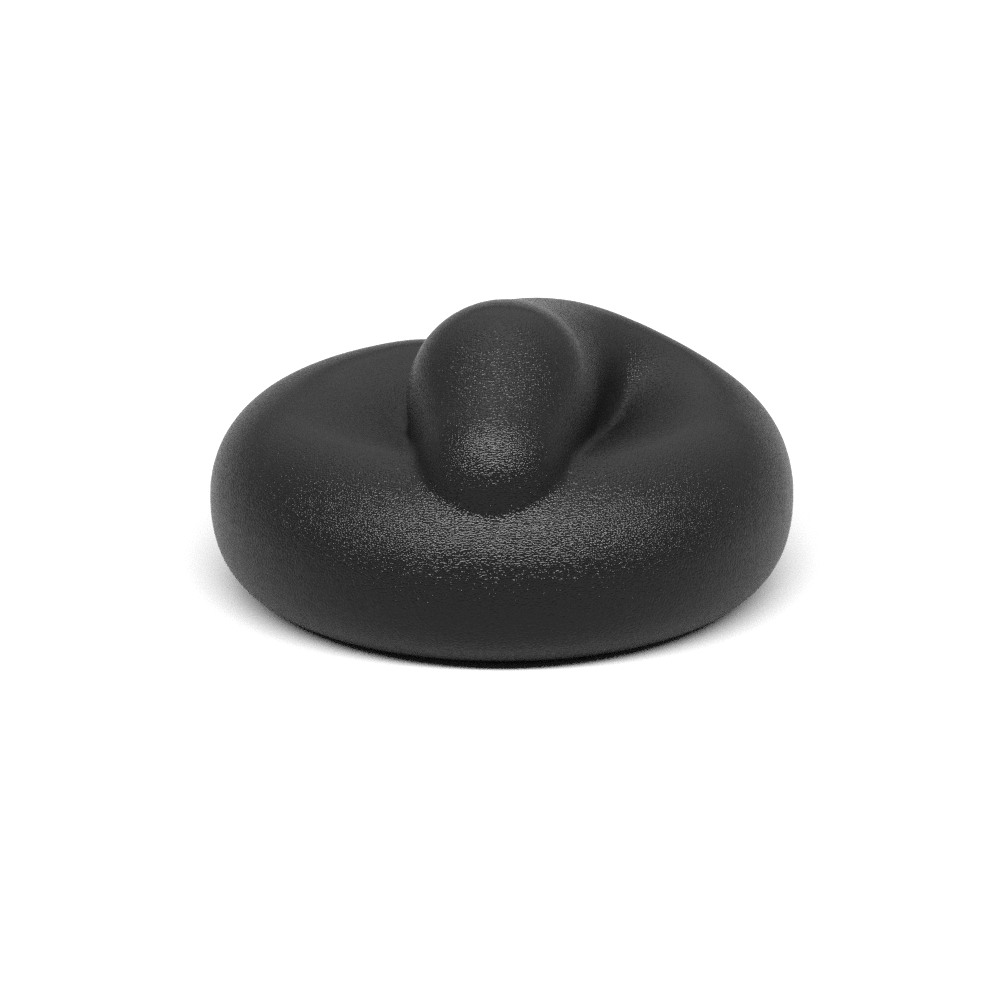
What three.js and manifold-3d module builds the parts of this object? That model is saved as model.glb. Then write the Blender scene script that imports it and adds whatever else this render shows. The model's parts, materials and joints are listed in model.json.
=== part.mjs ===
// A coiled snake figurine, cast in one piece, in millimetres with Z up.
// It rests on the plane z = 0, the snake looks towards -Y, and the origin is
// the middle of its footprint.
import * as THREE from 'three';
import Module from 'manifold-3d';

const wasm = await Module();
wasm.setup();

// Body: one turn of a thick round tube, lying on the ground
const BODY_RADIUS = 12.3;
const COIL_RADIUS = 24.7; // of the body's centreline
const COIL_END_AZIMUTH = 360; // where the body leaves the ground for the neck
const COIL_STEP_AZIMUTH = 7.5; // between two stations of the coil
const SEAT = 0.975; // height of the centreline, in body radii
const BELLY_POWER = 2.5; // above 2 the lower half of the section is fuller than round

// Tail: it tapers along the outside of the coil, behind the neck
const TAIL_TIP_AZIMUTH = 30;
const TAIL_TUCK = 0.65; // 1 keeps the tail at the coil's outer edge, 0 on its centreline
const TAIL_FULL_AZIMUTH = 112;
const TAIL_TIP_RADIUS = 3;

// Neck and head: x, y, z and radius of the stations that follow the coil
const NECK = [
  [24.3, 6.5, 12.4, 12.3],
  [21.6, 12.5, 13.3, 12.3],
  [17.3, 16.0, 15.1, 12.2],
  [12.7, 17.3, 17.2, 12.1],
  [8.4, 16.0, 19.4, 12.0],
  [5.0, 12.0, 21.2, 11.9],
  [2.8, 6.5, 22.9, 11.8],
];
const HEAD = [
  [1.5, 0.0, 24.8, 11.7],
  [0.5, -6.0, 26.7, 11.75],
  [-0.1, -12.0, 27.9, 11.8],
  [-0.4, -16.4, 26.55, 10.8],
  [-0.7, -20.8, 25.05, 9.75],
  [-1.0, -25.3, 23.55, 8.65],
];

// Middle of the coil: closed by a shallow dish under the head
const DISH_RADIUS = 16;
const DISH_TOP = 20.5;
const DISH_EDGE = 4; // rounding of the plug that closes it
const DISH_BLEND = 6; // width of the run-out into the body

// Fineness of the blends and of the facets
const CREASE_SHARPNESS = 2.2; // per millimetre, where two lengths of the body meet
const CREASE_TURN = 0.86; // cosine of the turn between two faces that counts as a crease
const FADE = 9; // beyond this distance from its skin a bead no longer counts
const STATION_PITCH = 1.2;
const CELL = 1.85;
const RELAX_ROUNDS = 12;

const radians = THREE.MathUtils.degToRad;

// Stations of the whole snake from tail to snout
function stations() {
  const list = [];
  for (let azimuth = TAIL_TIP_AZIMUTH; azimuth <= COIL_END_AZIMUTH; azimuth += COIL_STEP_AZIMUTH) {
    const grown = Math.min(1, (azimuth - TAIL_TIP_AZIMUTH) / (TAIL_FULL_AZIMUTH - TAIL_TIP_AZIMUTH));
    const radius = THREE.MathUtils.lerp(TAIL_TIP_RADIUS, BODY_RADIUS, grown);
    const reach = COIL_RADIUS + TAIL_TUCK * (BODY_RADIUS - radius);
    const a = radians(azimuth);
    list.push([reach * Math.cos(a), reach * Math.sin(a), SEAT * radius, radius]);
  }
  return [...list, ...NECK, ...HEAD];
}

// Beads along the centreline, at an even pitch: each but the two ends counts for its share of the
// sum, so that the row's skin has the beads' radius
function beads() {
  const list = stations();
  const path = new THREE.CatmullRomCurve3(list.map(([x, y, z]) => new THREE.Vector3(x, y, z)));
  const radii = new THREE.SplineCurve(list.map((station, i) => new THREE.Vector2(i, station[3])));
  path.arcLengthDivisions = 1200;
  const length = path.getLength();
  const count = Math.round(length / STATION_PITCH);
  const share = (length / count) * Math.sqrt(CREASE_SHARPNESS / (2 * Math.PI));
  const out = [];
  for (let i = 0; i <= count; i += 1) {
    const t = path.getUtoTmapping(i / count);
    const p = path.getPoint(t);
    const radius = radii.getPoint(t).y;
    const lifted = THREE.MathUtils.clamp((p.z - SEAT * BODY_RADIUS) / 4, 0, 1);
    out.push({
      x: p.x,
      y: p.y,
      z: p.z,
      radius,
      power: THREE.MathUtils.lerp(BELLY_POWER, 2, lifted),
      weight: i === 0 || i === count ? 1 : share / Math.sqrt(radius),
    });
  }
  return out;
}

const BEADS = beads();

// Height over the snake's skin, negative inside it
function bodyLevel(x, y, z) {
  let sum = 0;
  for (const b of BEADS) {
    const up = z - b.z;
    const flatSquared = (x - b.x) ** 2 + (y - b.y) ** 2;
    if (flatSquared + up * up > (b.radius + FADE) ** 2) continue;
    const flat = Math.sqrt(flatSquared);
    const reach = up < 0 && b.power > 2
      ? (flat ** b.power + (-up) ** b.power) ** (1 / b.power)
      : Math.sqrt(flatSquared + up * up);
    sum += b.weight * Math.exp(-CREASE_SHARPNESS * (reach - b.radius));
  }
  return -Math.log(Math.max(sum, 1e-300)) / CREASE_SHARPNESS;
}

function dishLevel(x, y, z) {
  const side = Math.hypot(x, y) - DISH_RADIUS;
  const top = Math.abs(z) - (DISH_TOP - DISH_EDGE);
  const outside = Math.hypot(Math.max(side, 0), Math.max(top, 0));
  return outside + Math.min(Math.max(side, top), 0) - DISH_EDGE;
}

function level(x, y, z) {
  const a = bodyLevel(x, y, z);
  const b = dishLevel(x, y, z);
  const share = THREE.MathUtils.clamp(0.5 + (b - a) / (2 * DISH_BLEND), 0, 1);
  return THREE.MathUtils.lerp(b, a, share) - DISH_BLEND * share * (1 - share);
}

function slopeAt(p, here) {
  const h = 0.01;
  return new THREE.Vector3(
    level(p.x + h, p.y, p.z) - here,
    level(p.x, p.y + h, p.z) - here,
    level(p.x, p.y, p.z + h) - here,
  ).divideScalar(h);
}

// Moves a point onto the skin along the steepest way
function settle(p) {
  for (let i = 0; i < 2; i += 1) {
    const here = level(p.x, p.y, p.z);
    const slope = slopeAt(p, here);
    p.addScaledVector(slope, -here / Math.max(slope.lengthSq(), 0.2));
  }
}

// The point nearest to the planes that touch the skin at the given points: on a crease
// it lies in the crease
function cornerOf(points) {
  const middle = points.reduce((sum, p) => sum.add(p), new THREE.Vector3()).divideScalar(points.length);
  const faces = points.map((p) => slopeAt(p, level(p.x, p.y, p.z)).normalize());
  const pull = 0.05;
  const m = [pull, 0, 0, 0, pull, 0, 0, 0, pull];
  const v = middle.clone().multiplyScalar(pull);
  let turn = 1;
  faces.forEach((n, i) => {
    const c = n.toArray();
    for (let a = 0; a < 3; a += 1) {
      for (let b = 0; b < 3; b += 1) m[3 * a + b] += c[a] * c[b];
    }
    v.addScaledVector(n, n.dot(points[i]));
    turn = Math.min(turn, ...faces.map((other) => other.dot(n)));
  });
  const corner = v.applyMatrix3(new THREE.Matrix3().set(...m).invert());
  const away = corner.clone().sub(middle).clampLength(0, CELL);
  return { point: middle.add(away), creased: turn < CREASE_TURN };
}

// Skin of the level function as four-sided facets on a grid of cells
function skin() {
  const reach = COIL_RADIUS + BODY_RADIUS + 2 * CELL;
  const bottom = -BODY_RADIUS * 0.5;
  const nx = Math.ceil((2 * reach) / CELL) + 1;
  const nz = Math.ceil((46 - bottom) / CELL) + 1;
  const at = (i, j, k) => (k * nx + j) * nx + i;
  const place = (i, j, k) => [-reach + i * CELL, -reach + j * CELL, bottom + k * CELL];
  const values = new Float64Array(nx * nx * nz);
  for (let k = 0; k < nz; k += 1) {
    for (let j = 0; j < nx; j += 1) {
      for (let i = 0; i < nx; i += 1) {
        const rim = i === 0 || j === 0 || k === 0 || i === nx - 1 || j === nx - 1 || k === nz - 1;
        values[at(i, j, k)] = rim ? 1 : level(...place(i, j, k));
      }
    }
  }

  const corners = [];
  for (let c = 0; c < 8; c += 1) corners.push([c & 1, (c >> 1) & 1, (c >> 2) & 1]);
  const edges = [];
  for (let a = 0; a < 8; a += 1) {
    for (const bit of [1, 2, 4]) {
      if (!(a & bit)) edges.push([a, a | bit]);
    }
  }

  const points = [];
  const creases = [];
  const cells = new Int32Array(values.length).fill(-1);
  for (let k = 0; k < nz - 1; k += 1) {
    for (let j = 0; j < nx - 1; j += 1) {
      for (let i = 0; i < nx - 1; i += 1) {
        const v = corners.map(([a, b, c]) => values[at(i + a, j + b, k + c)]);
        const hits = [];
        for (const [a, b] of edges) {
          if (v[a] < 0 === v[b] < 0) continue;
          const t = v[a] / (v[a] - v[b]);
          const p = new THREE.Vector3(...place(i + corners[a][0], j + corners[a][1], k + corners[a][2]));
          const q = new THREE.Vector3(...place(i + corners[b][0], j + corners[b][1], k + corners[b][2]));
          hits.push(p.lerp(q, t));
        }
        if (hits.length === 0) continue;
        const { point, creased } = cornerOf(hits);
        cells[at(i, j, k)] = points.length;
        points.push(point);
        creases.push(creased);
      }
    }
  }

  const quads = [];
  const steps = [[1, 0, 0], [0, 1, 0], [0, 0, 1]];
  for (let k = 0; k < nz - 1; k += 1) {
    for (let j = 0; j < nx - 1; j += 1) {
      for (let i = 0; i < nx - 1; i += 1) {
        steps.forEach(([a, b, c], axis) => {
          const from = values[at(i, j, k)] < 0;
          const to = values[at(i + a, j + b, k + c)] < 0;
          if (from === to) return;
          const [u, w] = [steps[(axis + 1) % 3], steps[(axis + 2) % 3]];
          const cell = (m, n) => cells[at(
            i - m * u[0] - n * w[0],
            j - m * u[1] - n * w[1],
            k - m * u[2] - n * w[2],
          )];
          const quad = [cell(1, 1), cell(0, 1), cell(0, 0), cell(1, 0)];
          quads.push(from ? quad : quad.reverse());
        });
      }
    }
  }
  return { points, creases, quads };
}

// Evens out the facets while they stay on the skin
function relax({ points, creases, quads }) {
  const around = points.map(() => new Set());
  for (const quad of quads) {
    quad.forEach((v, i) => {
      around[v].add(quad[(i + 1) % 4]);
      around[v].add(quad[(i + 3) % 4]);
    });
  }
  for (let round = 0; round < RELAX_ROUNDS; round += 1) {
    const moved = points.map((p, v) => {
      const mean = new THREE.Vector3();
      for (const n of around[v]) mean.add(points[n]);
      return p.clone().lerp(mean.divideScalar(around[v].size), 0.5);
    });
    moved.forEach((p, v) => {
      if (creases[v]) return;
      settle(p);
      points[v].copy(p);
    });
  }
}

// How far the straight line between two points of the skin leaves it
function sagitta(p, q) {
  const { x, y, z } = p.clone().lerp(q, 0.5);
  return Math.abs(level(x, y, z));
}

function solidFromFacets({ points, quads }) {
  const triangles = [];
  for (const [a, b, c, d] of quads) {
    const across = sagitta(points[a], points[c]) <= sagitta(points[b], points[d]);
    triangles.push(...(across ? [a, b, c, a, c, d] : [a, b, d, b, c, d]));
  }
  return new wasm.Manifold(new wasm.Mesh({
    numProp: 3,
    vertProperties: new Float32Array(points.flatMap((p) => p.toArray())),
    triVerts: new Uint32Array(triangles),
  }));
}

function solidFromGeometry(geometry) {
  const points = [];
  const seen = new Map();
  const index = [];
  const position = geometry.getAttribute('position');
  for (let i = 0; i < position.count; i += 1) {
    const p = new THREE.Vector3().fromBufferAttribute(position, i);
    const key = p.toArray().map((v) => v.toFixed(4)).join();
    if (!seen.has(key)) {
      seen.set(key, points.length);
      points.push(...p.toArray());
    }
    index.push(seen.get(key) / 3);
  }
  return new wasm.Manifold(new wasm.Mesh({
    numProp: 3,
    vertProperties: new Float32Array(points),
    triVerts: new Uint32Array(Array.from(geometry.getIndex().array, (i) => index[i])),
  }));
}

// The snake, cut level where it rests
function snakeGeometry() {
  const facets = skin();
  relax(facets);
  const ground = new THREE.BoxGeometry(200, 200, 60).translate(0, 0, -30);
  const cut = solidFromFacets(facets).subtract(solidFromGeometry(ground)).getMesh();
  const geometry = new THREE.BufferGeometry();
  geometry.setAttribute('position', new THREE.BufferAttribute(new Float32Array(cut.vertProperties), 3));
  geometry.setIndex(new THREE.BufferAttribute(new Uint32Array(cut.triVerts), 1));
  geometry.computeBoundingBox();
  const middle = geometry.boundingBox.getCenter(new THREE.Vector3());
  geometry.translate(-middle.x, -middle.y, 0);
  geometry.computeVertexNormals();
  return geometry;
}

const snake = new THREE.Mesh(
  snakeGeometry(),
  new THREE.MeshStandardMaterial({ color: 0x202022, roughness: 0.55, metalness: 0.35 }),
);
snake.name = 'snake';

const figurine = new THREE.Group();
figurine.add(snake);

export default figurine;
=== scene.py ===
import json
import math

import bpy
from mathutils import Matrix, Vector

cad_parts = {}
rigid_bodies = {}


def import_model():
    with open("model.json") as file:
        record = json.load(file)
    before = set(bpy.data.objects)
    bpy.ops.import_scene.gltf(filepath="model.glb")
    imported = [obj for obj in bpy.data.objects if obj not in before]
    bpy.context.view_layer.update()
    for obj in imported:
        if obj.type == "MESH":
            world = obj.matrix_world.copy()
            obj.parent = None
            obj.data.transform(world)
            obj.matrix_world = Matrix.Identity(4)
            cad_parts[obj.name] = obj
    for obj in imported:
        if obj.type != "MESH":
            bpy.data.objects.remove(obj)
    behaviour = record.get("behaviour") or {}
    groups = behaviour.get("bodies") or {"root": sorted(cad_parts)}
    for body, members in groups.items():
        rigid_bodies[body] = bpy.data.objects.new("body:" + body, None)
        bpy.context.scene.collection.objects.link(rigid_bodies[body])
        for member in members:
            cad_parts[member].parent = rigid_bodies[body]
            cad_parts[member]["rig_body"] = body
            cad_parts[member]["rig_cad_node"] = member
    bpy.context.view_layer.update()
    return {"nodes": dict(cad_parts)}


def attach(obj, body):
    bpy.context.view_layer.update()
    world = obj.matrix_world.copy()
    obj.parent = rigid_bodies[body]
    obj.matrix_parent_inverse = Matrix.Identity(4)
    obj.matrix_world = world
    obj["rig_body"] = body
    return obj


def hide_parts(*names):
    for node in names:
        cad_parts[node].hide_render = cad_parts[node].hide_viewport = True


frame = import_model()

MM = 0.001

# The casting
VOXEL = 0.4 * MM             # fineness of its surface
SMOOTHING_ROUNDS = 4
MERGE_DISTANCE = 0.002 * MM

# The grain that the sand mould leaves under the coating
GRAIN = 0.27 * MM            # from one grain to the next
GRAIN_DOME = 0.65            # twice the slope at the edge of a grain
GRAIN_LEAN = 0.2             # how far a grain leans its own way

# The coating: a dark ground that is dull all over, and a thin gloss over the grains
GROUND_COLOR = (0.0018, 0.0018, 0.0021, 1)
GROUND_ROUGHNESS = 0.65
GROUND_SHEEN = 0.03
GLOSS_WEIGHT = 0.4
GLOSS_ROUGHNESS = 0.12
GLOSS_IOR = 1.4

# The view of the photograph
CAMERA_ELEVATION = math.radians(19.5)
CAMERA_DISTANCE = 570 * MM
CAMERA_TARGET = Vector((0, 0, 12 * MM))
SENSOR = 36
LENS = 162
SHIFT_X = -0.002
SHIFT_Y = -0.0105
NEAR_LIMIT = 10 * MM

# The studio
FLOOR_SIZE = 6
FLOOR_COLOR = (0.34, 0.34, 0.34, 1)
FLOOR_ROUGHNESS = 0.9
AMBIENT = 0.15

# Softboxes: azimuth, elevation, distance, width, height and brightness. Azimuth 0 is over
# the camera and 90 is to its right
SOFTBOXES = {
    "key_softbox": (0, 50, 1.4, 2.4, 0.2, 75),
    "top_softbox": (180, 70, 1.2, 1.3, 1.1, 3.2),
    "back_softbox": (180, 25, 1.3, 2.4, 1.0, 0.5),
    "left_softbox": (-110, 25, 1.3, 1.0, 1.0, 0.7),
    "right_softbox": (110, 25, 1.3, 1.0, 1.0, 1.0),
}


def only(piece):
    bpy.ops.object.select_all(action="DESELECT")
    piece.select_set(True)
    bpy.context.view_layer.objects.active = piece


def finish_modifier(piece, kind, **settings):
    modifier = piece.modifiers.new(kind.title(), kind)
    for name, value in settings.items():
        setattr(modifier, name, value)
    only(piece)
    bpy.ops.object.modifier_apply(modifier=modifier.name)


def cast_snake():
    """The whole snake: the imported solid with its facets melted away"""
    solid = frame["nodes"]["snake"]
    snake = solid.copy()
    snake.data = solid.data.copy()
    snake.name = "snake_casting"
    snake.parent = None
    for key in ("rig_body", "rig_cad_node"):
        if key in snake:
            del snake[key]
    bpy.context.scene.collection.objects.link(snake)
    only(snake)
    bpy.ops.object.mode_set(mode="EDIT")
    bpy.ops.mesh.select_all(action="SELECT")
    bpy.ops.mesh.remove_doubles(threshold=MERGE_DISTANCE)
    bpy.ops.object.mode_set(mode="OBJECT")
    finish_modifier(snake, "REMESH", mode="VOXEL", voxel_size=VOXEL, adaptivity=0)
    finish_modifier(snake, "SMOOTH", factor=0.5, iterations=SMOOTHING_ROUNDS)
    only(snake)
    bpy.ops.object.shade_smooth()
    return snake


def node(tree, kind, place, **settings):
    made = tree.nodes.new(kind)
    made.location = place
    for name, value in settings.items():
        setattr(made, name, value)
    return made


def vector_math(tree, operation, place, first, second):
    """A vector node fed by a socket, and by a second socket, a number or a vector"""
    made = node(tree, "ShaderNodeVectorMath", place, operation=operation)
    tree.links.new(first, made.inputs[0])
    if operation == "SCALE":
        made.inputs["Scale"].default_value = second
    elif isinstance(second, tuple):
        made.inputs[1].default_value = second
    elif second is not None:
        tree.links.new(second, made.inputs[1])
    return made.outputs["Vector"]


def grained_facing(tree):
    """The way the gloss faces: each grain of sand leaves a round bump that leans a little"""
    where = node(tree, "ShaderNodeTexCoord", (-1400, 0)).outputs["Object"]
    surface = node(tree, "ShaderNodeNewGeometry", (-1400, -450)).outputs["Normal"]
    grains = node(tree, "ShaderNodeTexVoronoi", (-1200, -200), feature="F1")
    grains.inputs["Scale"].default_value = 1 / GRAIN
    tree.links.new(where, grains.inputs["Vector"])
    across = vector_math(tree, "SUBTRACT", (-1000, 0), where, grains.outputs["Position"])
    dome = vector_math(tree, "SCALE", (-800, 0), across, GRAIN_DOME / GRAIN)
    random = vector_math(tree, "SUBTRACT", (-1000, -200), grains.outputs["Color"], (0.5, 0.5, 0.5))
    lean = vector_math(tree, "SCALE", (-800, -200), random, GRAIN_LEAN)
    slope = vector_math(tree, "ADD", (-600, -100), dome, lean)
    tilted = vector_math(tree, "ADD", (-400, -200), slope, surface)
    return vector_math(tree, "NORMALIZE", (-200, -200), tilted, None)


def black_casting():
    material = bpy.data.materials.new("black_casting")
    material.use_nodes = True
    tree = material.node_tree
    skin = tree.nodes["Principled BSDF"]
    tree.links.new(grained_facing(tree), skin.inputs["Coat Normal"])
    skin.inputs["Base Color"].default_value = GROUND_COLOR
    skin.inputs["Roughness"].default_value = GROUND_ROUGHNESS
    skin.inputs["Specular IOR Level"].default_value = GROUND_SHEEN
    skin.inputs["Coat Weight"].default_value = GLOSS_WEIGHT
    skin.inputs["Coat Roughness"].default_value = GLOSS_ROUGHNESS
    skin.inputs["Coat IOR"].default_value = GLOSS_IOR
    return material


def white_board():
    material = bpy.data.materials.new("white_board")
    material.use_nodes = True
    board = material.node_tree.nodes["Principled BSDF"]
    board.inputs["Base Color"].default_value = FLOOR_COLOR
    board.inputs["Roughness"].default_value = FLOOR_ROUGHNESS
    board.inputs["Specular IOR Level"].default_value = 0
    return material


def studio():
    bpy.ops.mesh.primitive_plane_add(size=FLOOR_SIZE)
    floor = bpy.context.object
    floor.name = "studio_floor"
    floor.data.materials.append(white_board())

    world = bpy.data.worlds.new("studio")
    bpy.context.scene.world = world
    world.use_nodes = True
    background = world.node_tree.nodes["Background"]
    background.inputs["Color"].default_value = (1, 1, 1, 1)
    background.inputs["Strength"].default_value = AMBIENT


def softbox(name, azimuth, elevation, distance, width, height, brightness):
    a, e = math.radians(azimuth), math.radians(elevation)
    towards = Vector((math.sin(a) * math.cos(e), -math.cos(a) * math.cos(e), math.sin(e)))
    bpy.ops.object.light_add(type="AREA", location=CAMERA_TARGET + towards * distance)
    lamp = bpy.context.object
    lamp.name = name
    lamp.rotation_euler = towards.to_track_quat("Z", "Y").to_euler()
    lamp.data.shape = "RECTANGLE"
    lamp.data.size = width
    lamp.data.size_y = height
    lamp.data.energy = brightness * math.pi * width * height


def camera():
    back = Vector((0, -math.cos(CAMERA_ELEVATION), math.sin(CAMERA_ELEVATION)))
    bpy.ops.object.camera_add(location=CAMERA_TARGET + back * CAMERA_DISTANCE)
    seen = bpy.context.object
    seen.rotation_euler = back.to_track_quat("Z", "Y").to_euler()
    seen.data.sensor_width = SENSOR
    seen.data.lens = LENS
    seen.data.shift_x = SHIFT_X
    seen.data.shift_y = SHIFT_Y
    seen.data.clip_start = NEAR_LIMIT
    bpy.context.scene.camera = seen


snake = cast_snake()
snake.data.materials.clear()
snake.data.materials.append(black_casting())
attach(snake, "root")
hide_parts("snake")

studio()
for name, settings in SOFTBOXES.items():
    softbox(name, *settings)
camera()

# The glints are as small as the grains, and a denoiser would wipe them away
bpy.context.scene.view_settings.view_transform = "Standard"
bpy.context.scene.cycles.use_denoising = False
